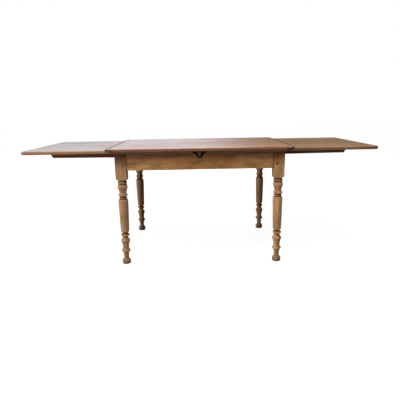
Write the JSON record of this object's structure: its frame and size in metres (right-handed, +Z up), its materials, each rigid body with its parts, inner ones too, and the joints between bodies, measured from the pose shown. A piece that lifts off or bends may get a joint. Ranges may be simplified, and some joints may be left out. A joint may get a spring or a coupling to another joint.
{
  "type": "extending draw leaf table",
  "caption": "Extending farmhouse table with a plank top, draw leaves sliding out from under each end, deep aprons and turned baluster legs on bun feet.",
  "frame": {"origin": "on the floor under the middle of the table, leaves drawn out", "axes": "+X along the table towards the right leaf, +Y from the front to the back, +Z up"},
  "size_m": [2.242, 0.9, 0.76],
  "materials": {
    "top_wood": "waxed pine, worn satin",
    "leaf_wood": "waxed pine, worn satin",
    "leg_wood": "waxed pine, satin",
    "apron_wood": "waxed pine, satin",
    "rail_wood": "planed pine, dull",
    "peg_wood": "turned hardwood, dark",
    "steel": "dull zinc"
  },
  "bodies": {
    "frame": {"apron_back": "apron_wood", "apron_front": "apron_wood", "apron_left": "apron_wood", "apron_right": "apron_wood", "centre_board": "rail_wood", "centre_cleat_back": "rail_wood", "centre_cleat_front": "rail_wood", "centre_screws": "steel", "corner_brace_back_left": "rail_wood", "corner_brace_back_right": "rail_wood", "corner_brace_front_left": "rail_wood", "corner_brace_front_right": "rail_wood", "draw_pegs": "peg_wood", "leg_back_left": "leg_wood", "leg_back_right": "leg_wood", "leg_front_left": "leg_wood", "leg_front_right": "leg_wood"},
    "top": {"edge_strip_back": "top_wood", "edge_strip_front": "top_wood", "guide_peg_back": "peg_wood", "guide_peg_front": "peg_wood", "locating_peg_back": "peg_wood", "locating_peg_front": "peg_wood", "top_board_1": "top_wood", "top_board_2": "top_wood", "top_board_3": "top_wood", "top_board_4": "top_wood", "top_board_5": "top_wood"},
    "leaf_left": {"leaf_left_bearer_back": "rail_wood", "leaf_left_bearer_front": "rail_wood", "leaf_left_board_1": "leaf_wood", "leaf_left_board_2": "leaf_wood", "leaf_left_board_3": "leaf_wood", "leaf_left_board_4": "leaf_wood", "leaf_left_end": "leaf_wood", "leaf_left_screws": "steel", "leaf_left_stop_pegs": "peg_wood"},
    "leaf_right": {"leaf_right_bearer_back": "rail_wood", "leaf_right_bearer_front": "rail_wood", "leaf_right_board_1": "leaf_wood", "leaf_right_board_2": "leaf_wood", "leaf_right_board_3": "leaf_wood", "leaf_right_board_4": "leaf_wood", "leaf_right_end": "leaf_wood", "leaf_right_screws": "steel", "leaf_right_stop_pegs": "peg_wood"}
  },
  "joints": [
    {"name": "top_lift", "type": "slide", "parent": "frame", "child": "top", "axis": [0, 0, 1], "range_m": [0, 0.06]},
    {"name": "leaf_left_slide", "type": "slide", "parent": "frame", "child": "leaf_left", "axis": [-1, 0, 0.0081], "range_m": [-0.51802, 0]},
    {"name": "leaf_right_slide", "type": "slide", "parent": "frame", "child": "leaf_right", "axis": [1, 0, 0.0081], "range_m": [-0.51802, 0]}
  ]
}
